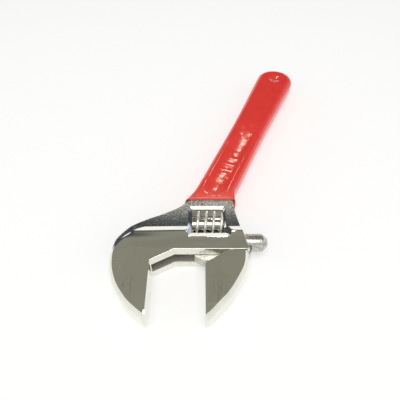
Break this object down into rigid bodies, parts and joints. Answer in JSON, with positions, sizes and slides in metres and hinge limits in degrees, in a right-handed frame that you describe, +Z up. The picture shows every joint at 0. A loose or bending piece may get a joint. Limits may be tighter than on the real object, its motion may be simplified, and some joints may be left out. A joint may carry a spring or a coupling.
{
  "type": "adjustable wrench",
  "caption": "Adjustable wrench with a sliding lower jaw, a worm knurl in the head and a dipped vinyl grip on an angled handle.",
  "frame": {"origin": "on the fixed jaw's flat face, half way along it and half way through its thickness", "axes": "+X is the fixed jaw face's outward normal, the way the movable jaw opens; +Y runs from the jaw tips to the throat and on towards the handle; +Z is up through the thickness"},
  "size_m": [0.1086, 0.191, 0.0166],
  "materials": {
    "head_chrome": "plated, ground and polished jaws, sand-blasted round the window",
    "jaw_chrome": "plated, ground and polished",
    "knurl_chrome": "plated, rounded thread",
    "pin_steel": "turned",
    "spring_steel": "drawn wire",
    "red_vinyl": "dipped, glossy"
  },
  "bodies": {
    "root": {"body": "head_chrome", "grip": "red_vinyl", "knurl_pin": "pin_steel", "knurl_spring": "spring_steel"},
    "jaw": {"movable_jaw": "jaw_chrome"},
    "knurl": {"knurl": "knurl_chrome"}
  },
  "joints": [
    {"name": "jaw_slide", "type": "slide", "parent": "root", "child": "jaw", "axis": [1, 0, 0], "range_m": [-0.0247, 0.001]},
    {"name": "knurl_spin", "type": "hinge", "parent": "root", "child": "knurl", "pos_m": [0.0265, 0.0375, 0], "axis": [1, 0, 0], "range_deg": [-120, 2400]}
  ],
  "couplings": [
    {"joint": "knurl_spin", "follows": "jaw_slide", "rad_per_m": -1611.1}
  ]
}
